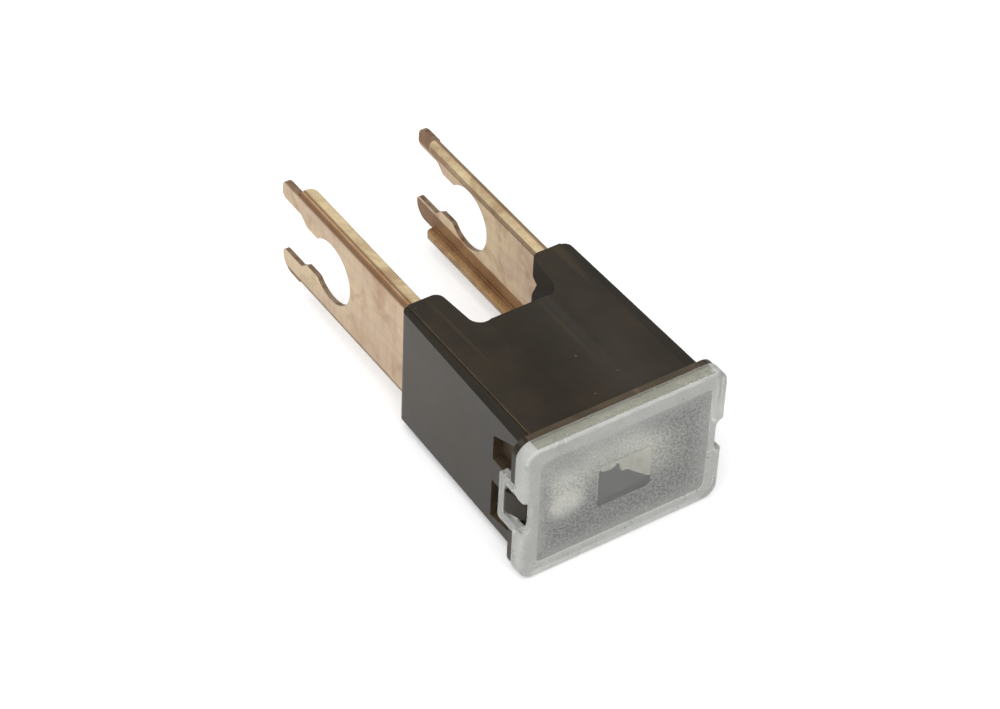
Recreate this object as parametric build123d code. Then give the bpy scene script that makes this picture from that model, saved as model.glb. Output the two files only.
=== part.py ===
"""Bolt-down cartridge fuse for a vehicle fuse box, lying on its broad side.

Millimetres.  X runs across the cover, Y from the cover to the forked legs,
Z is up.  The origin is at the middle of the part's footprint, on the plane
that the cover's lower edge touches.
"""
import os
from build123d import *

# Terminals: channels of sheet that end in a fork for a bolt
sheet = 0.5
leg_spacing = 16.0
leg_height = 11.6
leg_flange_width = 1.6
leg_bend_radius = 0.6
leg_flange_corner_radius = 0.8
leg_flange_reach = 20.0
leg_clearance = 0.05
tongue_height = 6.8
fork_hole_diameter = 6.9
fork_hole_setback = 8.9
fork_nib_gap = 4.8
fork_nib_length = 4.4
fork_nib_radius = 0.4
fork_lead_in = 1.1
prong_reach = 3.1
prong_setback = 0.25
prong_width = 2.3
prong_tip_flat = 0.1
prong_inner_radius = 0.6
upper_prong_nose_radius = 1.2
lower_prong_nose_radius = 1.6

# Housing: body, front flange and the notch between the legs
side_wall = 1.2
broad_wall = 0.8
housing_draft = 0.575
housing_length = 22.4
housing_rear_corner_radius = 0.8
face_panel_margin = 0.8
face_panel_height = 0.15
flange_thickness = 0.8
flange_step = 0.12
notch_wall = 1.25
notch_draft = 0.5
notch_depth = 5.6
notch_floor_wall = 1.1
notch_corner_radius = 1.25
notch_mouth_radius = 0.9
centre_band_width = 6.6
centre_band_height = 0.1
centre_band_slope = 0.3

# Relief in the rear edge of the thin wall between each leg and the notch
relief_depth = 1.4
relief_margin = 0.95
relief_slope = 0.7
relief_low_half_height = 1.1

# Latch: a lug on each short side of the housing, hooked by a loop of the cover
lug_height = 2.5
lug_overhang = 0.85
lug_land = 0.3
latch_clearance = 0.08
loop_side_clearance = 0.275
loop_window_clearance = 0.55
loop_arm_width = 1.1
loop_thickness = 0.75
loop_reach = 2.6
crossbar_width = 0.95
loop_corner_radius = 0.45

# Pockets of the housing, above and below each lug
pocket_length = 4.6
pocket_floor_wall = 0.575
pocket_lug_margin = 0.05
upper_pocket_front_margin = 0.55
upper_pocket_rear_margin = 2.5
lower_pocket_front_margin = 1.7
lower_pocket_rear_margin = 0.9

# Cover: a clear moulded cap over the front of the housing
plate_thickness = 0.8
lid_clearance = 0.1
cover_depth = 1.6
skirt_wall = 0.75
rim_past_loop = 0.15
rim_past_face = 1.1
cover_corner_radius = 1.6
cover_edge_radius = 0.4
skirt_gap_overlap = 0.15
skirt_gap_land = 0.05
plate_gap_depth = 0.95
plate_gap_radius = 0.8
panel_border = 1.7
panel_recess = 0.12
panel_corner_radius = 0.7
window_width = 5.9
window_height = 5.0
window_corner_radius = 0.6

# Fuse element: a bent strip that bridges the terminals behind the cover
link_thickness = 0.35
link_height = 4.8
link_setback = 0.5
link_tab_length = 4.0
link_bend_radius = 0.7
link_dip = 1.8
link_dip_half_width = 3.4
link_dip_slope = 1.2
link_neck_height = 1.5
link_neck_radius = 1.7
pellet_diameter = 2.6
pellet_thickness = 0.5

# Stations along Y, counted from the front of the cover
spigot_front = plate_thickness + lid_clearance
flange_rear = cover_depth + flange_thickness
housing_rear = spigot_front + housing_length
notch_floor = housing_rear - notch_depth
cavity_rear = notch_floor - notch_floor_wall
flange_end = housing_rear + leg_flange_reach
prong_end = flange_end + prong_reach
hole_station = prong_end - fork_hole_setback
link_front = plate_thickness + link_setback
crossbar_rear = cover_depth + loop_reach
crossbar_front = crossbar_rear - crossbar_width

# Half widths across X, from the legs out to the cover
leg_outer = leg_spacing / 2
leg_inner = leg_outer - sheet
leg_edge = leg_outer - leg_flange_width
slot_outer = leg_outer + leg_clearance
slot_inner = leg_edge - leg_clearance
rear_half = slot_outer + side_wall
front_half = rear_half + housing_draft
loop_inner = front_half + loop_side_clearance
loop_outer = loop_inner + loop_thickness
cover_half = loop_outer + rim_past_loop

# Half heights along Z
cavity_top = leg_height / 2 + leg_clearance
body_top = cavity_top + broad_wall
panel_top = body_top + face_panel_height
band_top = panel_top + centre_band_height
cover_top = panel_top + rim_past_face
lug_top = lug_height / 2
loop_window_top = lug_top + loop_window_clearance
loop_top = loop_window_top + loop_arm_width
gap_top = loop_window_top + skirt_gap_overlap
prong_top = leg_height / 2 - prong_setback
mouth_top = prong_top - prong_width


def side_plane(x):
    """Plane at a station across X, with its first axis along Y and its second up."""
    return Plane(origin=(x, 0, 0), x_dir=(0, 1, 0), z_dir=(1, 0, 0))


def plate_across(outline, y_front, y_rear):
    """Solid of an XZ outline between two stations."""
    plane = Plane(origin=(0, y_rear, 0), x_dir=(1, 0, 0), z_dir=(0, -1, 0))
    return extrude(plane * outline, amount=y_rear - y_front)


def block(x_min, x_max, y_min, y_max, z_min, z_max):
    """Box between two corners."""
    return Pos(x_min, y_min, z_min) * Box(x_max - x_min, y_max - y_min, z_max - z_min, align=Align.MIN)


def polygon(*points):
    """Closed face through the given points."""
    return make_face(Polyline(*points, close=True))


def both_sides(shape):
    """The shape and its mirror image in the middle plane."""
    return shape + mirror(shape, about=Plane.YZ)


def above_and_below(shape):
    """The shape and its mirror image in the horizontal middle plane."""
    return shape + mirror(shape, about=Plane.XY)


def rounded(outline, radius, keep):
    """Outline with the corners that keep picks rounded."""
    return fillet(outline.vertices().filter_by(keep), radius)


def body_plan():
    """Plan of the housing, narrower at the legs, with the notch cut in."""
    plan = polygon(
        (-front_half, spigot_front), (front_half, spigot_front),
        (rear_half, housing_rear), (-rear_half, housing_rear),
    )
    plan = rounded(plan, housing_rear_corner_radius, lambda v: v.Y > notch_floor)
    mouth = slot_inner - notch_wall
    floor = mouth - notch_draft
    notch = polygon(
        (-floor, notch_floor), (floor, notch_floor), (mouth, housing_rear), (-mouth, housing_rear)
    )
    plan -= rounded(notch, notch_corner_radius, lambda v: v.Y < housing_rear - notch_depth / 2)
    mouth_line = housing_rear - notch_depth / 10
    return rounded(plan, notch_mouth_radius, lambda v: v.Y > mouth_line and abs(v.X) < slot_inner)


def raised_section():
    """XZ outline of the raised panels, with a slope-sided band along the middle of each."""
    panel_half = rear_half - face_panel_margin
    band_half = centre_band_width / 2
    right = polygon(
        (0, 0), (panel_half, 0), (panel_half, panel_top),
        (band_half, panel_top), (band_half - centre_band_slope, band_top), (0, band_top),
    )
    upper = both_sides(right)
    return upper + mirror(upper, about=Plane.XZ)


def housing_body():
    """Tapered block with a slightly raised panel and band on both broad faces."""
    plan = body_plan()
    raised = extrude(plan, amount=band_top, both=True) & plate_across(raised_section(), 0, housing_rear)
    return extrude(plan, amount=body_top, both=True) + raised


def housing_flange():
    """Flange that the cover's skirt closes on, notched for the loops."""
    rim = RectangleRounded(
        2 * (cover_half - flange_step), 2 * (cover_top - flange_step), cover_corner_radius - flange_step
    )
    notch_inner = loop_inner - latch_clearance
    notch_top = loop_top + latch_clearance
    notch = block(notch_inner, cover_half, cover_depth, flange_rear, -notch_top, notch_top)
    return plate_across(rim, cover_depth, flange_rear) - both_sides(notch)


def lug():
    """Wedge that the crossbar of the loop hooks behind."""
    rear = crossbar_front - latch_clearance
    crest = loop_inner + lug_overhang
    ramp = polygon(
        (rear_half, spigot_front), (loop_inner, spigot_front),
        (crest, rear - lug_land), (crest, rear), (rear_half, rear),
    )
    return extrude(ramp, amount=lug_top, both=True)


def side_pocket(front_margin, rear_margin):
    """Pocket above one lug, with its far edge set in from the broad face at either end."""
    rear = flange_rear + pocket_length
    near = lug_top + pocket_lug_margin
    side = polygon(
        (flange_rear, near), (rear, near),
        (rear, body_top - rear_margin), (flange_rear, body_top - front_margin),
    )
    return extrude(side_plane(slot_outer + pocket_floor_wall) * side, amount=cover_half)


def wall_relief():
    """Notch in the rear edge of the wall beside a leg slot."""
    top = cavity_top - relief_margin
    side = polygon(
        (housing_rear, top),
        (housing_rear - relief_depth, top - relief_slope),
        (housing_rear, relief_low_half_height),
    )
    return extrude(side_plane(0) * side, amount=slot_inner)


def housing():
    """Moulded body with its flange, lugs, cavity, leg slots and recesses."""
    body = housing_body() + housing_flange() + both_sides(lug())
    body -= block(-slot_outer, slot_outer, 0, cavity_rear, -cavity_top, cavity_top)
    body -= both_sides(block(slot_inner, slot_outer, 0, housing_rear, -cavity_top, cavity_top))
    upper_pocket = side_pocket(upper_pocket_front_margin, upper_pocket_rear_margin)
    lower_pocket = mirror(side_pocket(lower_pocket_front_margin, lower_pocket_rear_margin), about=Plane.XY)
    for recess in (upper_pocket, lower_pocket, above_and_below(wall_relief())):
        body -= both_sides(recess)
    return body


def cover_shell():
    """Front plate and skirt, open towards the housing."""
    outline = RectangleRounded(2 * cover_half, 2 * cover_top, cover_corner_radius)
    shell = plate_across(outline, 0, cover_depth)
    shell = fillet(shell.faces().sort_by(Axis.Y)[0].edges(), cover_edge_radius)
    inside = RectangleRounded(
        2 * (cover_half - skirt_wall), 2 * (cover_top - skirt_wall), cover_corner_radius - skirt_wall
    )
    return shell - plate_across(inside, plate_thickness, cover_depth)


def plate_gap():
    """Round-cornered gap in the right edge of the front plate, in front of the lug."""
    notch = rounded(Rectangle(2 * plate_gap_depth, 2 * gap_top), plate_gap_radius, lambda v: v.X < 0)
    return plate_across(Pos(cover_half) * notch, 0, plate_thickness)


def skirt_gap():
    """Gap in the right side of the skirt, flared towards its free edge."""
    reach = cover_depth - plate_thickness
    slot = Pos(cover_depth - reach / 2) * Rectangle(reach, 2 * gap_top)
    slot += Pos(cover_depth + reach / 2) * Rectangle(reach, 2 * (gap_top + reach))
    inside = slot.vertices().filter_by(lambda v: v.X > plate_thickness + reach / 2)
    slot = fillet(inside.filter_by(lambda v: abs(v.Y) < gap_top + reach / 2), reach - skirt_gap_land)
    return extrude(side_plane(cover_half - skirt_wall) * slot, amount=skirt_wall)


def latch_loop():
    """Two arms and a crossbar on the right side of the cover."""
    length = crossbar_rear - plate_thickness / 2
    frame = rounded(Rectangle(length, 2 * loop_top), loop_corner_radius, lambda v: v.X > 0)
    hole = Pos(-crossbar_width) * Rectangle(length, 2 * loop_window_top)
    plane = side_plane(loop_inner) * Pos(crossbar_rear - length / 2)
    return extrude(plane * (frame - hole), amount=loop_thickness)


def front_panel():
    """Recess of the frosted panel, with the polished window left standing."""
    panel = RectangleRounded(
        2 * (cover_half - panel_border), 2 * (cover_top - panel_border), panel_corner_radius
    )
    panel -= RectangleRounded(window_width, window_height, window_corner_radius)
    return plate_across(panel, 0, panel_recess)


def cover():
    """Cap with its recessed panel and a latch loop on each short side."""
    gap = plate_gap() + skirt_gap()
    return cover_shell() - both_sides(gap) - front_panel() + both_sides(latch_loop())


def fork_gap():
    """YZ outline of the bolt hole, the round-cornered nibs and the mouth of the fork."""
    nib_half = fork_nib_gap / 2
    nib_end = hole_station + fork_nib_length
    past_tips = prong_end + fork_lead_in
    half_mouth = polygon(
        (hole_station, 0), (hole_station, nib_half), (nib_end, nib_half),
        (nib_end + fork_lead_in, mouth_top), (past_tips, mouth_top), (past_tips, 0),
    )
    gap = half_mouth + mirror(half_mouth, about=Plane.XZ) + Pos(hole_station) * Circle(fork_hole_diameter / 2)
    return rounded(gap, fork_nib_radius, lambda v: hole_station < v.X < prong_end)


def prongs():
    """YZ outline of the two prongs beyond the flanges, with round noses."""
    outline = Pos(flange_end + prong_reach / 2) * Rectangle(prong_reach, 2 * prong_top) - fork_gap()
    tip = prong_end - prong_inner_radius
    middle = prong_top - prong_width / 2
    widest_nose = prong_width - prong_inner_radius - prong_tip_flat
    upper_nose = min(upper_prong_nose_radius, widest_nose)
    lower_nose = min(lower_prong_nose_radius, widest_nose)
    outline = rounded(outline, prong_inner_radius, lambda v: v.X > tip and abs(v.Y) < middle)
    outline = rounded(outline, upper_nose, lambda v: v.X > tip and v.Y > middle)
    return rounded(outline, lower_nose, lambda v: v.X > tip and v.Y < -middle)


def channel():
    """Leg with a flange bent inward along its top and bottom edges."""
    outer = rounded(Rectangle(leg_flange_width, leg_height), leg_bend_radius, lambda v: v.X > 0)
    inner = Rectangle(leg_flange_width, leg_height - 2 * sheet)
    if leg_bend_radius > sheet:
        inner = rounded(inner, leg_bend_radius - sheet, lambda v: v.X > 0)
    section = Pos(leg_outer - leg_flange_width / 2) * (outer - Pos(-sheet) * inner)
    bar = plate_across(section, cavity_rear, flange_end)
    corners = bar.edges().filter_by(Axis.Z).sort_by(Axis.Y).filter_by(lambda e: e.center().X < leg_inner)
    return fillet(corners[-2:], leg_flange_corner_radius)


def terminal():
    """Right terminal, from the tongue for the fuse element to the fork."""
    web = side_plane(leg_inner)
    tongue = block(
        leg_inner, leg_outer, link_front, cavity_rear + sheet, -tongue_height / 2, tongue_height / 2
    )
    leg = channel() + tongue + extrude(web * prongs(), amount=sheet)
    return leg - extrude(web * fork_gap(), amount=sheet)


def fuse_link():
    """Strip bent into a tab on each terminal and a dip behind the window."""
    dip_floor = link_front + link_dip
    half = [
        (leg_inner, link_front + link_tab_length),
        (leg_inner, link_front),
        (link_dip_half_width, link_front),
        (link_dip_half_width - link_dip_slope, dip_floor),
    ]
    path = FilletPolyline(*half, *[(-x, y) for x, y in reversed(half)], radius=link_bend_radius)
    strip = make_brake_formed(link_thickness, link_height, path, side=Side.RIGHT)
    strip = strip.moved(Location((0, 0, -strip.bounding_box().center().Z)))
    notch = Pos(0, link_neck_height / 2 + link_neck_radius) * Circle(link_neck_radius)
    waist = plate_across(notch, link_front, dip_floor + link_dip)
    return strip - above_and_below(waist)


def tin_pellet():
    """Low button of tin on the front of the waist."""
    rear = link_front + link_dip
    disc = plate_across(Circle(pellet_diameter / 2), rear - pellet_thickness, rear)
    return fillet(disc.faces().sort_by(Axis.Y)[0].edges(), pellet_thickness / 2)


pieces = {
    "housing": housing(),
    "cover": cover(),
    "terminal_left": mirror(terminal(), about=Plane.YZ),
    "terminal_right": terminal(),
    "fuse_link": fuse_link(),
    "tin_pellet": tin_pellet(),
}

os.makedirs("parts", exist_ok=True)
rest = Pos(0, -prong_end / 2, cover_top)
for name, piece in pieces.items():
    export_step(rest * piece, f"parts/{name}.step")
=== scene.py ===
"""Dressed scene of a bolt-down cartridge fuse, laid out as a Blender add-on.

All lengths are metres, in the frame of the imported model: X across the cover,
Y from the cover to the forked legs, Z up, and the part rests on Z = 0.
"""

import math

import bmesh
import bpy
import numpy as np
from bpy.props import FloatProperty, FloatVectorProperty, PointerProperty
from mathutils import Matrix, Vector


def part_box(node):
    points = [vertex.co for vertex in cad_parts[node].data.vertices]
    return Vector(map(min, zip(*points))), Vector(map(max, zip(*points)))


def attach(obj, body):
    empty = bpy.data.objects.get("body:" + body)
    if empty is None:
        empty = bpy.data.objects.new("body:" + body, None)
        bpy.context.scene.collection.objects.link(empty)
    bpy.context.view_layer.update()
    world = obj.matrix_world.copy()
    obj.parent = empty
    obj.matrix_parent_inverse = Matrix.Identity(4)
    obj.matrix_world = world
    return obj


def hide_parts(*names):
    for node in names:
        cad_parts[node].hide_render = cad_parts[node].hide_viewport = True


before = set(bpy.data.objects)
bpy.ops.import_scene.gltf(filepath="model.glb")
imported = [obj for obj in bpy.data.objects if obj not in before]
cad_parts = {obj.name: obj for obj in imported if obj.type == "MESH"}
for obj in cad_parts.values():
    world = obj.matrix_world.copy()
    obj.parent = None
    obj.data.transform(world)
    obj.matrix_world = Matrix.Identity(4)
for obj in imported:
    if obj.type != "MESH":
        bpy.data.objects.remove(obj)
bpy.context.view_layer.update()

bl_info = {
    "name": "Cartridge fuse dresser",
    "version": (1, 0, 0),
    "blender": (4, 5, 0),
    "location": "3D View > Sidebar > Fuse",
    "description": "Dresses the packed fuse with plastics, rolled copper alloy and tin, in a plain studio",
    "category": "Object",
}

MM = 0.001
BODY = "root"

# Sizes of the CAD solids, by which their faces are told apart
SLACK = 0.02 * MM
SHEET = 0.5 * MM
PRONG_REACH = 3.1 * MM
LEG_EDGE = 6.4 * MM
COVER_PLATE = 0.8 * MM
COVER_DEPTH = 1.6 * MM
PANEL_RECESS = 0.12 * MM
PANEL_REACH = (9.3 * MM, 6.2 * MM)
WINDOW_AREA = 30 * MM * MM
MIDDLE_BAND = 0.12 * MM
BODY_TOP = 6.65 * MM
PANEL_HALF = 8.45 * MM
POCKET_FLOOR = 8.625 * MM
POCKET_REACH = 6.2 * MM
REAR_HALF = 9.25 * MM
NOTCH_HALF = 5.3 * MM
NOTCH_DEPTH = 5.6 * MM

# How squarely a normal has to lie along an axis, and how far it may lean off it
ALONG = 0.9
SQUARE = 0.99
LEANING = 0.5
ACROSS = 0.3

# Angles up to which faces are merged, and past which creases stay sharp, edges are rounded and the
# button's shoulder is kept; and how near two corners are for merging
MERGED = math.radians(0.5)
CREASE = math.radians(30)
ROUNDED = math.radians(35)
SHOULDER = math.radians(50)
MERGE_REACH = 1e-6

# Haze of the frosted panel: width at the border, height over which it grows, where it ends to the
# right, and the middle of the painted highlight of the left tab with the radii between which it fades
HAZE_BORDER = 1.9 * MM
HAZE_RISE = (-0.5 * MM, 4.0 * MM)
HAZE_END = (2.5 * MM, 5.5 * MM)
TAB_HIGHLIGHT = (-6.3 * MM, -0.4 * MM)
TAB_HIGHLIGHT_FADE = (1.2 * MM, 2.6 * MM)

# Stretch of X over which the tinned strip turns darker
DARKENING_SPAN = (4.0 * MM, 7.0 * MM)

# Studio: half the floor's side, its lift to paper white, the height on the sky's unit sphere over
# which its glow grows, the glow there, and each softbox's place and width
FLOOR_HALF = 1.5
FLOOR_LIFT = 0.25
GLOW_SPAN = (0.3, 1.0)
GLOW = (0.2, 2.6)
SOFTBOXES = {
    "overhead_softbox": ((-0.12, -0.1, 0.55), 0.5),
    "front_softbox": ((-0.36, -0.44, 0.26), 0.4),
    "rear_softbox": ((-0.26, 0.37, 0.41), 0.3),
}

WHITE = (1.0, 1.0, 1.0, 1.0)
PAPER = ((0.86, 0.86, 0.86, 1.0), (0.88, 0.88, 0.88, 1.0))
DUST_COLOUR = (0.2, 0.19, 0.16, 1.0)
WARM_GLOSS = (1.0, 0.94, 0.83, 1.0)
EVERYWHERE = slice(None)


class FuseFinish(bpy.types.PropertyGroup):
    """Colours and edge sizes of the fuse's own surfaces."""

    housing_colour: FloatVectorProperty(
        name="Housing", description="Brown-black moulded plastic", subtype="COLOR",
        default=(0.014, 0.0092, 0.0042),
    )
    # Partly painted light: this lighter olive is a painted highlight on the panels' steps and painted light
    # in the pockets; it also colours the flange
    worn_colour: FloatVectorProperty(
        name="Worn", description="Lighter olive of the panels' steps, pockets and flange", subtype="COLOR",
        default=(0.14, 0.1, 0.06),
    )
    rim_colour: FloatVectorProperty(
        name="Cover rim", description="Milky plastic of the rim and the loops", subtype="COLOR",
        default=(0.80, 0.81, 0.77),
    )
    top_colour: FloatVectorProperty(
        name="Cover top", description="Olive tint of the skirt's top, over the dark flange", subtype="COLOR",
        default=(0.76, 0.75, 0.62),
    )
    panel_colour: FloatVectorProperty(
        name="Cover panel", description="Greyer frosted front panel", subtype="COLOR",
        default=(0.86, 0.87, 0.83),
    )
    copper_colour: FloatVectorProperty(
        name="Copper", description="Pinkish copper alloy of the broad faces", subtype="COLOR",
        default=(0.46, 0.345, 0.24),
    )
    # Painted sheen: the flanges' lighter, yellower tone stands in for the light they catch; also the tone of
    # the wide patches
    gilt_colour: FloatVectorProperty(
        name="Gilt", description="Yellower tone along the bent flanges", subtype="COLOR",
        default=(0.76, 0.615, 0.375),
    )
    # Also painted shade along the bends, besides the real oxide in stains and cut edges
    tarnish_colour: FloatVectorProperty(
        name="Tarnish", description="Brown oxide in patches, bends and cut edges", subtype="COLOR",
        default=(0.16, 0.08, 0.037),
    )
    tin_colour: FloatVectorProperty(
        name="Tin", description="Warm white of the tinned strip", subtype="COLOR",
        default=(0.98, 0.95, 0.86),
    )
    housing_edge: FloatProperty(
        name="Housing edge", description="Radius that softens the housing's edges", unit="LENGTH",
        default=0.14 * MM,
    )
    cover_edge: FloatProperty(
        name="Cover edge", description="Radius that softens the cover's edges", unit="LENGTH",
        default=0.1 * MM,
    )
    sheet_edge: FloatProperty(
        name="Sheet edge", description="Radius that softens the stamped sheet's edges", unit="LENGTH",
        default=0.06 * MM,
    )


class FuseStage(bpy.types.PropertyGroup):
    """Camera and lights of the studio."""

    azimuth: FloatProperty(
        name="Azimuth", description="Camera's turn about Z, 0 looks along +Y", subtype="ANGLE",
        default=math.radians(-35.34),
    )
    elevation: FloatProperty(
        name="Elevation", description="Camera's height angle", subtype="ANGLE",
        default=math.radians(42.24),
    )
    roll: FloatProperty(
        name="Roll", description="Camera's turn about its own axis", subtype="ANGLE",
        default=math.radians(2.74),
    )
    distance: FloatProperty(
        name="Distance", description="From the camera to the point it aims at", unit="LENGTH",
        default=308.4 * MM,
    )
    aim: FloatVectorProperty(
        name="Aim", description="Point in the middle of the picture", subtype="TRANSLATION",
        default=(-5.52 * MM, -10.72 * MM, 15.6 * MM),
    )
    lens: FloatProperty(name="Lens", description="Focal length in millimetres", unit="CAMERA", default=123.55)
    sky: FloatProperty(name="Sky", description="Strength of the soft light all round", default=0.42)
    overhead_softbox: FloatProperty(
        name="Overhead softbox", description="Power of the softbox overhead", unit="POWER", default=1.3
    )
    front_softbox: FloatProperty(
        name="Front softbox", description="Power of the softbox in front", unit="POWER", default=1.3
    )
    rear_softbox: FloatProperty(
        name="Rear softbox", description="Power of the softbox behind", unit="POWER", default=0.6
    )


def mesh_object(name, points, faces):
    """New object from an array of points and each face's vertex numbers."""
    mesh = bpy.data.meshes.new(name)
    mesh.from_pydata(points.tolist(), [], faces)
    mesh.update()
    piece = bpy.data.objects.new(name, mesh)
    bpy.context.scene.collection.objects.link(piece)
    return piece


def shade_smooth(mesh, sharp_angle):
    """Smooth shading with creases kept where faces meet at more than the angle."""
    mesh.polygons.foreach_set("use_smooth", np.ones(len(mesh.polygons), bool))
    mesh.set_sharp_from_angle(angle=sharp_angle)


def softened_copy(node, name, radius):
    """Copy of a CAD node, merged into whole faces, with its edges rounded."""
    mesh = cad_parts[node].data.copy()
    mesh.name = name
    work = bmesh.new()
    work.from_mesh(mesh)
    bmesh.ops.remove_doubles(work, verts=work.verts, dist=MERGE_REACH)
    bmesh.ops.dissolve_limit(
        work, angle_limit=MERGED, verts=work.verts, edges=work.edges, use_dissolve_boundaries=False
    )
    work.to_mesh(mesh)
    work.free()
    stale = mesh.attributes.get("custom_normal")
    if stale:
        mesh.attributes.remove(stale)
    piece = bpy.data.objects.new(name, mesh)
    bpy.context.scene.collection.objects.link(piece)
    shade_smooth(mesh, CREASE)
    bevel = piece.modifiers.new("Edges", "BEVEL")
    bevel.width = radius
    bevel.segments = 2
    bevel.limit_method = "ANGLE"
    bevel.angle_limit = ROUNDED
    bevel.use_clamp_overlap = True
    bevel.harden_normals = True
    return piece


def face_array(mesh, key):
    """One of a mesh's face properties: its centres or normals in rows, or its areas."""
    values = np.empty(len(mesh.polygons) * (1 if key == "area" else 3))
    mesh.polygons.foreach_get(key, values)
    return values if key == "area" else values.reshape(-1, 3)


def finish_faces(mesh, *finishes):
    """Gives the mesh its materials: the first all over, then each later one on the faces of its mask."""
    index = np.zeros(len(mesh.polygons), np.int32)
    mesh.materials.clear()
    for slot, (material, chosen) in enumerate(finishes):
        mesh.materials.append(material)
        index[chosen] = slot
    mesh.polygons.foreach_set("material_index", index)


def seat(piece, node):
    """The piece stands for a CAD node, which it hides, and rides on the body."""
    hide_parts(node)
    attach(piece, BODY)


def add(tree, kind, sockets=(), **settings):
    """New node with its settings, each socket given a value or fed by another socket."""
    made = tree.nodes.new(kind)
    for key, value in settings.items():
        setattr(made, key, value)
    for key, value in dict(sockets).items():
        if isinstance(value, bpy.types.NodeSocket):
            tree.links.new(value, made.inputs[key])
        else:
            made.inputs[key].default_value = value
    return made


def maths(tree, operation, first, second=0.0):
    """Output of a Math node."""
    return add(tree, "ShaderNodeMath", {0: first, 1: second}, operation=operation).outputs[0]


def ramp(tree, value, low, high, bottom=0.0, top=1.0):
    """Output of a clamped linear step from bottom at low to top at high."""
    sockets = {"Value": value, "From Min": low, "From Max": high, "To Min": bottom, "To Max": top}
    return add(tree, "ShaderNodeMapRange", sockets).outputs["Result"]


def blend(tree, factor, first, second):
    """Output of a colour mix."""
    made = add(tree, "ShaderNodeMix", data_type="RGBA")
    for key, value in (("Factor_Float", factor), ("A_Color", first), ("B_Color", second)):
        socket = next(s for s in made.inputs if s.identifier == key)
        if isinstance(value, bpy.types.NodeSocket):
            tree.links.new(value, socket)
        else:
            socket.default_value = value
    return next(s for s in made.outputs if s.identifier == "Result_Color")


def new_group(name, inputs, outputs):
    """Shader node group with float inputs and outputs, and its two end nodes."""
    group = bpy.data.node_groups.new(name, "ShaderNodeTree")
    for label, default in inputs:
        socket = group.interface.new_socket(label, in_out="INPUT", socket_type="NodeSocketFloat")
        socket.default_value = default
    for label in outputs:
        group.interface.new_socket(label, in_out="OUTPUT", socket_type="NodeSocketFloat")
    return group, group.nodes.new("NodeGroupInput"), group.nodes.new("NodeGroupOutput")


def noise(tree, place, scale, detail=3.0, roughness=0.6, distortion=0.0):
    """Output of a Noise Texture; the scale is in features per metre."""
    sockets = {
        "Vector": place, "Scale": scale, "Detail": detail, "Roughness": roughness, "Distortion": distortion,
    }
    return add(tree, "ShaderNodeTexNoise", sockets).outputs["Fac"]


def object_axes(tree):
    """The three outputs of the piece's own coordinates."""
    return add(tree, "ShaderNodeSeparateXYZ", {0: add(tree, "ShaderNodeTexCoord").outputs["Object"]}).outputs


def cells(tree, place, scale):
    """Distance to the nearest of scattered points; the scale is in points per metre."""
    sockets = {"Vector": place, "Scale": scale, "Randomness": 1.0}
    return add(tree, "ShaderNodeTexVoronoi", sockets).outputs["Distance"]


def stretched(tree, place, scale, rotation=(0.0, 0.0, 0.0)):
    """Coordinates turned and then squeezed along each axis, so that a pattern runs in lines."""
    turned = add(tree, "ShaderNodeMapping", {"Vector": place, "Rotation": rotation, "Scale": scale})
    return turned.outputs["Vector"]


def moulded_surface():
    """Clouds, fine grain, fine scratches and dust specks, each scale in features per metre."""
    group, given, result = new_group(
        "moulded_surface", [("Clouds", 260.0), ("Grain", 9000.0), ("Scratches", 900.0), ("Dust", 420.0)],
        ["Clouds", "Grain", "Scratches", "Dust"],
    )
    place = add(group, "ShaderNodeTexCoord").outputs["Object"]
    group.links.new(noise(group, place, given.outputs["Clouds"], 4.0), result.inputs["Clouds"])
    group.links.new(noise(group, place, given.outputs["Grain"], 2.0, 0.7), result.inputs["Grain"])
    along = stretched(group, place, (1.0, 0.06, 1.0), (0.2, 0.1, 0.5))
    lines = noise(group, along, given.outputs["Scratches"], 1.0, distortion=0.4)
    group.links.new(ramp(group, lines, 0.63, 0.72), result.inputs["Scratches"])
    specks = cells(group, place, given.outputs["Dust"])
    spots = ramp(group, specks, 0.03, 0.075, 1.0, 0.0)
    sparse = ramp(group, noise(group, place, 110.0, 1.0), 0.56, 0.6)
    group.links.new(maths(group, "MULTIPLY", spots, sparse), result.inputs["Dust"])
    return group


def rolled_sheet():
    """Rolling lines, cross brushing, stains, wide patches and pits, each scale in features per metre."""
    group, given, result = new_group(
        "rolled_sheet", [("Lines", 1500.0), ("Stains", 320.0), ("Patches", 120.0), ("Pits", 2300.0)],
        ["Lines", "Brushing", "Stains", "Patches", "Pits"],
    )
    place = add(group, "ShaderNodeTexCoord").outputs["Object"]
    lengthwise = stretched(group, place, (1.0, 0.05, 1.0))
    upright = stretched(group, place, (1.0, 1.0, 0.12), (0.35, 0.0, 0.0))
    made = {
        "Lines": noise(group, lengthwise, given.outputs["Lines"], 3.0, 0.7),
        "Brushing": noise(group, upright, given.outputs["Lines"], 3.0, 0.7),
        "Stains": noise(group, place, given.outputs["Stains"], 5.0, 0.62, 0.8),
        "Patches": noise(group, place, given.outputs["Patches"], 3.0, 0.5, 0.5),
        "Pits": ramp(group, cells(group, place, given.outputs["Pits"]), 0.0, 0.2, 1.0, 0.0),
    }
    for label, output in made.items():
        group.links.new(output, result.inputs[label])
    return group


def new_material(name):
    """Empty material with its tree, its shader and its output linked."""
    material = bpy.data.materials.new(name)
    material.use_nodes = True
    tree = material.node_tree
    tree.nodes.clear()
    shader = tree.nodes.new("ShaderNodeBsdfPrincipled")
    output = tree.nodes.new("ShaderNodeOutputMaterial")
    tree.links.new(shader.outputs["BSDF"], output.inputs["Surface"])
    return material, tree, shader


def toned(colour, gain):
    """Three-part colour, brightened by a gain."""
    return tuple(min(1.0, part * gain) for part in colour)


def rgba(colour, gain=1.0):
    """Four-part colour, brightened by a gain."""
    return toned(colour, gain) + (1.0,)


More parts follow.
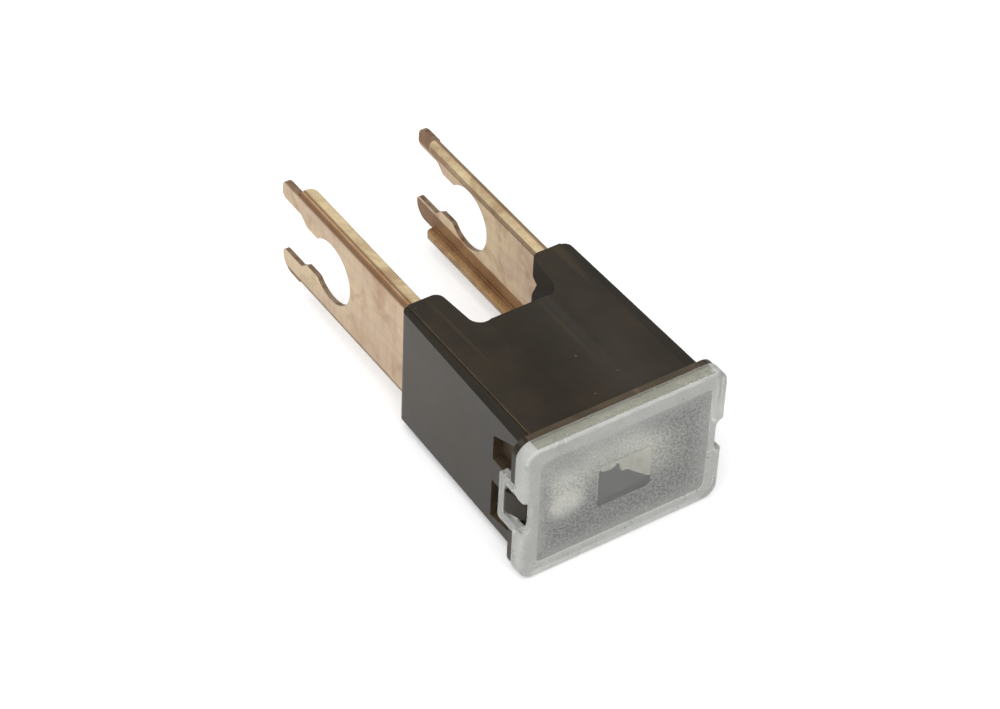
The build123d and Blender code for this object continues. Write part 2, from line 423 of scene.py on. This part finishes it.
def effect(tree, build, **scales):
    """Outputs of a shared node group, built the first time, in a material with its own scales."""
    group = bpy.data.node_groups.get(build.__name__) or build()
    return add(tree, "ShaderNodeGroup", scales, node_tree=group).outputs


def bump(tree, shader, height, strength, distance):
    """Bump of a height field on the shader's normal."""
    made = add(tree, "ShaderNodeBump", {"Strength": strength, "Distance": distance, "Height": height})
    tree.links.new(made.outputs["Normal"], shader.inputs["Normal"])


def housing_plastic(name, colour, low_rough, high_rough):
    """Satin brown-black plastic with clouds, grain, faint scratches and dust."""
    material, tree, shader = new_material(name)
    surface = effect(tree, moulded_surface, Clouds=170.0, Grain=7000.0, Scratches=700.0)
    clouds = ramp(tree, surface["Clouds"], 0.35, 0.65)
    tone = blend(tree, clouds, rgba(colour, 0.7), rgba(colour, 1.45))
    lines = maths(tree, "MULTIPLY", surface["Scratches"], 0.3)
    scratched = blend(tree, lines, tone, rgba(colour, 4.0))
    dust = maths(tree, "MULTIPLY", surface["Dust"], 0.5)
    tree.links.new(blend(tree, dust, scratched, DUST_COLOUR), shader.inputs["Base Color"])
    rough = ramp(tree, surface["Clouds"], 0.3, 0.7, low_rough, high_rough)
    tree.links.new(rough, shader.inputs["Roughness"])
    bump(tree, shader, surface["Grain"], 0.2, 0.02 * MM)
    shader.inputs["IOR"].default_value = 1.31
    shader.inputs["Specular Tint"].default_value = WARM_GLOSS
    return material


def clear_plastic(name, colour, transmission, low_rough, high_rough, grain, depth):
    """Clear moulded plastic; grain is how fine its texture is per metre and depth how deep it is."""
    material, tree, shader = new_material(name)
    surface = effect(tree, moulded_surface, Clouds=300.0, Grain=grain)
    clouds = ramp(tree, surface["Clouds"], 0.3, 0.7)
    tone = blend(tree, clouds, rgba(colour, 0.93), rgba(colour, 1.05))
    grains = ramp(tree, surface["Grain"], 0.4, 0.65, 0.0, 0.2)
    tree.links.new(blend(tree, grains, tone, rgba(colour, 0.5)), shader.inputs["Base Color"])
    rough = ramp(tree, surface["Clouds"], 0.3, 0.7, low_rough, high_rough)
    tree.links.new(rough, shader.inputs["Roughness"])
    bump(tree, shader, surface["Grain"], 1.0, depth)
    shader.inputs["IOR"].default_value = 1.5
    shader.inputs["Transmission Weight"].default_value = transmission
    return material


def panel_haze(tree, middle):
    """Haze from 0 to 1 along the panel's border and over its upper left, and a painted highlight in a spot at
    the left tab.

    Middle is the panel's centre in X and Z.
    """
    place = object_axes(tree)
    x = maths(tree, "ABSOLUTE", maths(tree, "SUBTRACT", place["X"], middle[0]))
    rise = maths(tree, "SUBTRACT", place["Z"], middle[1])
    z = maths(tree, "ABSOLUTE", rise)
    from_side = maths(tree, "SUBTRACT", PANEL_REACH[0], x)
    from_end = maths(tree, "SUBTRACT", PANEL_REACH[1], z)
    border = ramp(tree, maths(tree, "MINIMUM", from_side, from_end), 0.0, HAZE_BORDER, 1.0, 0.0)
    leftward = ramp(tree, place["X"], *HAZE_END, 1.0, 0.0)
    upper = maths(tree, "MULTIPLY", ramp(tree, rise, *HAZE_RISE, 0.0, 0.9), leftward)
    # Painted highlight: a lighter spot over the left tab behind the panel, as its glare seen through
    across = maths(tree, "SUBTRACT", place["X"], TAB_HIGHLIGHT[0])
    along = maths(tree, "SUBTRACT", rise, TAB_HIGHLIGHT[1])
    squares = [maths(tree, "MULTIPLY", offset, offset) for offset in (across, along)]
    tab_highlight = ramp(tree, maths(tree, "SQRT", maths(tree, "ADD", *squares)), *TAB_HIGHLIGHT_FADE, 1.0, 0.0)
    return maths(tree, "MAXIMUM", upper, maths(tree, "MAXIMUM", border, tab_highlight))


def frosted_plastic(name, colour, middle):
    """Clear plastic with a leathery grain, lighter and less grainy where the panel's haze and the painted tab
    highlight are high.
    """
    material, tree, shader = new_material(name)
    surface = effect(tree, moulded_surface, Clouds=300.0, Grain=3600.0)
    haze_and_tab_highlight = panel_haze(tree, middle)
    cloudy = ramp(tree, surface["Clouds"], 0.35, 0.65, 0.9, 1.15)
    tone = blend(tree, maths(tree, "MULTIPLY", haze_and_tab_highlight, cloudy), rgba(colour, 0.88), rgba(colour, 1.16))
    grains = ramp(tree, surface["Grain"], 0.44, 0.58)
    strength = maths(tree, "MULTIPLY", grains, ramp(tree, haze_and_tab_highlight, 0.0, 1.0, 0.85, 0.25))
    tree.links.new(blend(tree, strength, tone, rgba(colour, 0.3)), shader.inputs["Base Color"])
    shader.inputs["Roughness"].default_value = 0.34
    bump(tree, shader, surface["Grain"], 1.0, 0.15 * MM)
    shader.inputs["IOR"].default_value = 1.5
    shader.inputs["Transmission Weight"].default_value = 0.76
    return material


def from_face(tree, value, face, deep, shallow, bottom=0.0, top=1.0):
    """Step of a value between two depths in millimetres behind a face of the channel."""
    return ramp(tree, value, face - deep * MM, face - shallow * MM, bottom, top)


def bend_shade(tree, x, z, web, flange):
    """Painted shade along the bends: a dark line on their outside, painted over their highlight, and a
    painted dark reflection in a band at the foot of the web's inside.
    """
    line = maths(
        tree, "MULTIPLY", from_face(tree, x, web, 0.5, 0.28), from_face(tree, z, flange, 0.85, 0.5, 0.0, 0.85)
    )
    foot = maths(
        tree, "MULTIPLY", from_face(tree, x, web, 0.75, 0.55), from_face(tree, x, web, 0.4, 0.3, 1.0, 0.0)
    )
    band = maths(tree, "MULTIPLY", foot, from_face(tree, z, flange, 2.35, 2.15, 0.0, 0.8))
    return maths(tree, "MAXIMUM", line, band)


def copper_sheet(finish, middle, web, flange):
    """Rolled copper alloy, pinkish on the webs and lighter and yellower on the flanges as painted sheen, with
    painted shade in brown along the bends.

    The lengths are the height of the channel's middle and how far the outer faces of its web and of
    its flanges lie from the middle plane and from that height.
    """
    material, tree, shader = new_material("copper_sheet")
    surface = effect(tree, rolled_sheet, Lines=1500.0, Stains=300.0)
    place = object_axes(tree)
    x = maths(tree, "ABSOLUTE", place["X"])
    z = maths(tree, "ABSOLUTE", maths(tree, "SUBTRACT", place["Z"], middle))
    # Painted sheen: the flanges take the lighter gilt tone in place of the light they catch
    on_flange = maths(
        tree, "MAXIMUM", from_face(tree, z, flange, 0.12, 0.0),
        from_face(tree, x, web - SHEET, 0.4, 0.2, 1.0, 0.0),
    )
    tone = blend(tree, on_flange, rgba(finish.copper_colour), rgba(finish.gilt_colour))
    brown = rgba(finish.tarnish_colour, 1.6)
    for name, low, high, depth, colour in (
        ("Patches", 0.42, 0.6, 0.6, rgba(finish.gilt_colour, 0.75)),
        ("Stains", 0.48, 0.66, 0.5, brown),
        ("Lines", 0.35, 0.65, 0.18, brown),
        ("Brushing", 0.4, 0.66, 0.2, brown),
        ("Pits", 0.0, 1.0, 0.14, brown),
    ):
        tone = blend(tree, ramp(tree, surface[name], low, high, 0.0, depth), tone, colour)
    lip = ramp(tree, x, LEG_EDGE + 0.02 * MM, LEG_EDGE + 0.08 * MM, 0.7, 0.0)
    shade = maths(tree, "MAXIMUM", bend_shade(tree, x, z, web, flange), lip)
    # Painted shade: the bends' dark line and foot band, with the dark lips, blend to the tarnish colour
    tree.links.new(blend(tree, shade, tone, rgba(finish.tarnish_colour)), shader.inputs["Base Color"])
    smooth = ramp(tree, surface["Stains"], 0.35, 0.7, 0.13, 0.24)
    bend = maths(tree, "MULTIPLY", shade, 0.4)
    flat = maths(tree, "MULTIPLY", on_flange, 0.1)
    rough = maths(tree, "ADD", smooth, maths(tree, "MAXIMUM", bend, flat))
    tree.links.new(rough, shader.inputs["Roughness"])
    bump(tree, shader, surface["Brushing"], 0.25, 0.015 * MM)
    shader.inputs["Metallic"].default_value = 1.0
    return material


def sheared_edge(finish):
    """Dark, rough-cut edge of the sheet with fine strokes across its thickness."""
    material, tree, shader = new_material("sheared_edge")
    surface = effect(tree, rolled_sheet, Lines=2600.0, Stains=700.0)
    stains = ramp(tree, surface["Stains"], 0.35, 0.65)
    tone = blend(tree, stains, rgba(finish.tarnish_colour, 0.8), rgba(finish.copper_colour, 0.6))
    tree.links.new(tone, shader.inputs["Base Color"])
    tree.links.new(ramp(tree, surface["Lines"], 0.3, 0.7, 0.35, 0.5), shader.inputs["Roughness"])
    bump(tree, shader, surface["Lines"], 0.5, 0.03 * MM)
    shader.inputs["Metallic"].default_value = 1.0
    return material


def tin_coat(name, colour, stain_gain):
    """Warm tin, stained in colour, gloss and relief, and darker towards the right leg."""
    material, tree, shader = new_material(name)
    surface = effect(tree, rolled_sheet, Stains=500.0)
    tone = blend(tree, ramp(tree, surface["Stains"], 0.35, 0.7), rgba(colour), rgba(colour, stain_gain))
    darkening = ramp(tree, object_axes(tree)["X"], *DARKENING_SPAN, 0.0, 0.8)
    tree.links.new(blend(tree, darkening, tone, rgba(colour, 0.2)), shader.inputs["Base Color"])
    tree.links.new(ramp(tree, surface["Stains"], 0.3, 0.7, 0.3, 0.45), shader.inputs["Roughness"])
    bump(tree, shader, surface["Stains"], 0.3, 0.03 * MM)
    shader.inputs["Metallic"].default_value = 0.2
    return material


def tin_button(low, high, rings=24, spokes=64):
    """Domed button of tin between two corners, as a grid surface.

    A ring parameter runs from the pole of the dome to its rim, over a right angle, and a turn goes
    round.  The radius is the square root of the parameter's sine, which squares the shoulder, times a
    ripple of three and five waves per turn.  The height over the flat back is the parameter's cosine
    to the power 0.6.  A fan of triangles closes the dome's pole and another one the back.
    """
    centre = (np.array(low) + np.array(high)) / 2
    reach = (np.array(high) - np.array(low)) / 2
    turn = np.linspace(0, 2 * math.pi, spokes, endpoint=False)
    front = np.linspace(0, math.pi / 2, rings + 1)[1:]
    ripple = 0.965 + 0.02 * np.cos(3 * turn + 0.7) + 0.015 * np.cos(5 * turn)
    radius = np.sin(front)[:, None] ** 0.5 * ripple[None, :]
    x = centre[0] + reach[0] * radius * np.cos(turn)
    z = centre[2] + reach[2] * radius * np.sin(turn)
    y = high[1] - 2 * reach[1] * np.broadcast_to(np.cos(front)[:, None] ** 0.6, radius.shape)
    grid = np.stack([x, y, z], axis=-1).reshape(-1, 3)
    poles = np.array([[centre[0], low[1], centre[2]], [centre[0], high[1], centre[2]]])
    ring = np.arange(spokes)
    following = (ring + 1) % spokes
    rows = np.arange(rings - 1)[:, None] * spokes
    outer = rows + spokes
    quads = np.stack([rows + ring, rows + following, outer + following, outer + ring], axis=-1)
    top = np.stack([np.full(spokes, len(grid)), following, ring], axis=-1)
    last = (rings - 1) * spokes
    back = np.stack([np.full(spokes, len(grid) + 1), last + ring, last + following], axis=-1)
    faces = [*quads.reshape(-1, 4).tolist(), *top.tolist(), *back.tolist()]
    piece = mesh_object("tin_button", np.vstack([grid, poles]), faces)
    work = bmesh.new()
    work.from_mesh(piece.data)
    bmesh.ops.recalc_face_normals(work, faces=work.faces)
    work.to_mesh(piece.data)
    work.free()
    shade_smooth(piece.data, SHOULDER)
    return piece


class FUSE_OT_housing(bpy.types.Operator):
    """Moulded housing with softened edges and satin brown-black plastic"""

    bl_idname = "fuse.housing"
    bl_label = "Housing"

    def execute(self, context):
        finish = context.scene.fuse_finish
        piece = softened_copy("housing", "housing_shell", finish.housing_edge)
        low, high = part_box("housing")
        centres = face_array(piece.data, "center")
        normals = face_array(piece.data, "normal")
        half = (high.z - low.z) / 2
        x, y, z = abs(centres[:, 0]), centres[:, 1], abs(centres[:, 2] - low.z - half)
        sideways, upright = abs(normals[:, 0]), abs(normals[:, 2])
        border = (upright > SQUARE) & (abs(z - BODY_TOP) < SLACK)
        notch = (x < NOTCH_HALF) & (y > high.y - NOTCH_DEPTH - SLACK) & (upright < LEANING)
        step = (sideways > ALONG) & (abs(x - PANEL_HALF) < SLACK)
        pocket = (x > POCKET_FLOOR - SLACK) & (x < REAR_HALF) & (y < low.y + POCKET_REACH) & (z < BODY_TOP)
        flange = (upright > ALONG) & (z > half - SLACK)
        colour, worn_and_lit = finish.housing_colour, finish.worn_colour
        finish_faces(
            piece.data,
            (housing_plastic("housing_plastic", colour, 0.26, 0.36), EVERYWHERE),
            (housing_plastic("housing_border", toned(colour, 0.6), 0.3, 0.4), border),
            # Painted shade: the notch's walls take a darker brown as the shade between the legs; they are
            # also rougher
            (housing_plastic("housing_notch", toned(colour, 0.8), 0.6, 0.75), notch),
            # Painted highlight: the panel steps' risers take a lighter olive as the light line they catch
            (housing_plastic("housing_step", worn_and_lit, 0.5, 0.6), step),
            # Painted light: the deep side pockets take a lighter olive as the light that reaches their floors
            (housing_plastic("housing_pocket", toned(worn_and_lit, 0.45), 0.45, 0.6), pocket),
            (housing_plastic("housing_flange", toned(worn_and_lit, 0.4), 0.3, 0.4), flange),
        )
        seat(piece, "housing")
        return {"FINISHED"}


class FUSE_OT_cover(bpy.types.Operator):
    """Clear latched cover, milky on its rim, frosted on its panel and polished on its window"""

    bl_idname = "fuse.cover"
    bl_label = "Cover"

    def execute(self, context):
        finish = context.scene.fuse_finish
        piece = softened_copy("cover", "cover_cap", finish.cover_edge)
        low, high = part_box("cover")
        centres = face_array(piece.data, "center")
        normals = face_array(piece.data, "normal")
        middle = ((low.x + high.x) / 2, (low.z + high.z) / 2)
        y = centres[:, 1] - low.y
        facing = normals[:, 1] < -SQUARE
        centred = abs(centres[:, 0]) < MIDDLE_BAND
        window = facing & (y < SLACK) & centred & (face_array(piece.data, "area") < WINDOW_AREA)
        behind = (normals[:, 1] > SQUARE) & (abs(y - COVER_PLATE) < SLACK)
        panel = facing & (abs(y - PANEL_RECESS) < SLACK)
        top = (normals[:, 2] > ALONG) & (centres[:, 2] > high.z - SLACK)
        loop = y > COVER_DEPTH + SLACK
        rim, clear = finish.rim_colour, finish.panel_colour
        finish_faces(
            piece.data,
            (clear_plastic("cover_rim", rim, 0.56, 0.25, 0.35, 3000.0, 0.005 * MM), EVERYWHERE),
            (clear_plastic("cover_top", finish.top_colour, 0.8, 0.2, 0.3, 2500.0, 0.005 * MM), top),
            (clear_plastic("cover_loop", rim, 0.8, 0.12, 0.2, 2500.0, 0.005 * MM), loop),
            (frosted_plastic("cover_panel", clear, middle), panel),
            (clear_plastic("cover_window", clear, 0.96, 0.04, 0.08, 900.0, 0.01 * MM), window | behind),
        )
        seat(piece, "cover")
        return {"FINISHED"}


class FUSE_OT_terminals(bpy.types.Operator):
    """The two forked channels of rolled copper alloy, with darker sheared edges"""

    bl_idname = "fuse.terminals"
    bl_label = "Terminals"

    def execute(self, context):
        finish = context.scene.fuse_finish
        low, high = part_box("terminal_right")
        middle = (low.z + high.z) / 2
        web_half = (high.z - low.z) / 2 - SHEET
        metal = copper_sheet(finish, middle, high.x, (high.z - low.z) / 2)
        edge = sheared_edge(finish)
        for side in ("left", "right"):
            piece = softened_copy(f"terminal_{side}", f"terminal_{side}_sheet", finish.sheet_edge)
            centres = face_array(piece.data, "center")
            normals = face_array(piece.data, "normal")
            cut = abs(normals[:, 0]) < ACROSS
            in_web = cut & (abs(centres[:, 2] - middle) < web_half - SLACK)
            on_prong = cut & (centres[:, 1] > high.y - PRONG_REACH)
            end = abs(normals[:, 1]) > LEANING
            finish_faces(piece.data, (metal, EVERYWHERE), (edge, in_web | on_prong | end))
            seat(piece, f"terminal_{side}")
        return {"FINISHED"}


class FUSE_OT_element(bpy.types.Operator):
    """Tinned strip behind the window and the button of tin on its waist"""

    bl_idname = "fuse.element"
    bl_label = "Fuse element"

    def execute(self, context):
        finish = context.scene.fuse_finish
        strip = softened_copy("fuse_link", "fuse_strip", finish.sheet_edge)
        finish_faces(strip.data, (tin_coat("tinned_strip", finish.tin_colour, 0.8), EVERYWHERE))
        seat(strip, "fuse_link")
        button = tin_button(*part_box("tin_pellet"))
        finish_faces(button.data, (tin_coat("dull_tin", finish.tin_colour, 0.6), EVERYWHERE))
        seat(button, "tin_pellet")
        return {"FINISHED"}


def softbox(name, place, width, power):
    """Square soft light at a place, turned towards the origin."""
    lamp = bpy.data.lights.new(name, "AREA")
    lamp.shape = "SQUARE"
    lamp.size = width
    lamp.energy = power
    light = bpy.data.objects.new(name, lamp)
    bpy.context.scene.collection.objects.link(light)
    light.location = place
    light.rotation_euler = (-Vector(place)).to_track_quat("-Z", "Y").to_euler()


def seen_rays(tree):
    """1 for the rays that show the background: the camera's, and those off metal and through glass."""
    rays = add(tree, "ShaderNodeLightPath")
    mirrored = maths(tree, "MAXIMUM", rays.outputs["Is Glossy Ray"], rays.outputs["Is Transmission Ray"])
    return maths(tree, "MAXIMUM", rays.outputs["Is Camera Ray"], mirrored)


def studio_world(strength):
    """World that lights the part from overhead, and is white to the camera, in metal and through glass."""
    world = bpy.data.worlds.new("studio_world")
    world.use_nodes = True
    tree = world.node_tree
    tree.nodes.clear()
    direction = add(tree, "ShaderNodeSeparateXYZ", {0: add(tree, "ShaderNodeTexCoord").outputs["Generated"]})
    glow = ramp(tree, direction.outputs["Z"], *GLOW_SPAN, GLOW[0] * strength, GLOW[1] * strength)
    level = add(tree, "ShaderNodeMix", data_type="FLOAT")
    tree.links.new(seen_rays(tree), level.inputs[0])
    tree.links.new(glow, level.inputs[2])
    level.inputs[3].default_value = 1.0
    background = add(tree, "ShaderNodeBackground", {"Color": WHITE, "Strength": level.outputs[0]})
    output = tree.nodes.new("ShaderNodeOutputWorld")
    tree.links.new(background.outputs["Background"], output.inputs["Surface"])
    bpy.context.scene.world = world


def floor_finish():
    """Matt white floor, lifted to paper white in the picture, in reflections and through glass."""
    material, tree, shader = new_material("paper_floor")
    paper = noise(tree, add(tree, "ShaderNodeTexCoord").outputs["Object"], 400.0, 2.0)
    tree.links.new(blend(tree, paper, *PAPER), shader.inputs["Base Color"])
    shader.inputs["Roughness"].default_value = 0.9
    shader.inputs["Specular IOR Level"].default_value = 0.1
    shader.inputs["Emission Color"].default_value = WHITE
    lift = maths(tree, "MULTIPLY", seen_rays(tree), FLOOR_LIFT)
    tree.links.new(lift, shader.inputs["Emission Strength"])
    return material


class FUSE_OT_stage(bpy.types.Operator):
    """White floor, soft lights and the camera at the photograph's angle"""

    bl_idname = "fuse.stage"
    bl_label = "Stage"

    def execute(self, context):
        stage = context.scene.fuse_stage
        corners = FLOOR_HALF * np.array([[-1, -1, 0], [1, -1, 0], [1, 1, 0], [-1, 1, 0]])
        floor = mesh_object("floor", corners, [[0, 1, 2, 3]])
        floor.data.materials.append(floor_finish())
        studio_world(stage.sky)
        for name, (place, width) in SOFTBOXES.items():
            softbox(name, place, width, getattr(stage, name))
        self.place_camera(context, stage)
        context.scene.view_settings.view_transform = "Standard"
        return {"FINISHED"}

    def place_camera(self, context, stage):
        """Camera on a sphere about its aim, looking back along the radius, then rolled."""
        side, rise = stage.azimuth, stage.elevation
        back = Vector((math.sin(side) * math.cos(rise), -math.cos(side) * math.cos(rise), math.sin(rise)))
        camera = bpy.data.objects.new("camera", bpy.data.cameras.new("camera"))
        context.scene.collection.objects.link(camera)
        camera.data.lens = stage.lens
        camera.data.clip_start = 0.01
        turn = (-back).to_track_quat("-Z", "Y").to_matrix().to_4x4()
        place = Matrix.Translation(Vector(stage.aim) + stage.distance * back)
        camera.matrix_world = place @ turn @ Matrix.Rotation(stage.roll, 4, "Z")
        context.scene.camera = camera


class FUSE_PT_panel(bpy.types.Panel):
    """Lists the fuse's pieces and sizes"""

    bl_idname = "FUSE_PT_panel"
    bl_label = "Cartridge fuse"
    bl_space_type = "VIEW_3D"
    bl_region_type = "UI"
    bl_category = "Fuse"

    def draw(self, context):
        for operator in OPERATORS:
            self.layout.operator(operator.bl_idname)
        for settings in (context.scene.fuse_finish, context.scene.fuse_stage):
            for key in settings.__annotations__:
                self.layout.prop(settings, key)


OPERATORS = (FUSE_OT_housing, FUSE_OT_cover, FUSE_OT_terminals, FUSE_OT_element, FUSE_OT_stage)
CLASSES = (FuseFinish, FuseStage, *OPERATORS, FUSE_PT_panel)


def register():
    for cls in CLASSES:
        bpy.utils.register_class(cls)
    bpy.types.Scene.fuse_finish = PointerProperty(type=FuseFinish)
    bpy.types.Scene.fuse_stage = PointerProperty(type=FuseStage)


def unregister():
    del bpy.types.Scene.fuse_stage
    del bpy.types.Scene.fuse_finish
    for cls in reversed(CLASSES):
        bpy.utils.unregister_class(cls)


def main():
    """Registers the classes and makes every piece."""
    register()
    for operator in OPERATORS:
        family, name = operator.bl_idname.split(".")
        getattr(getattr(bpy.ops, family), name)()


if __name__ == "__main__":
    main()
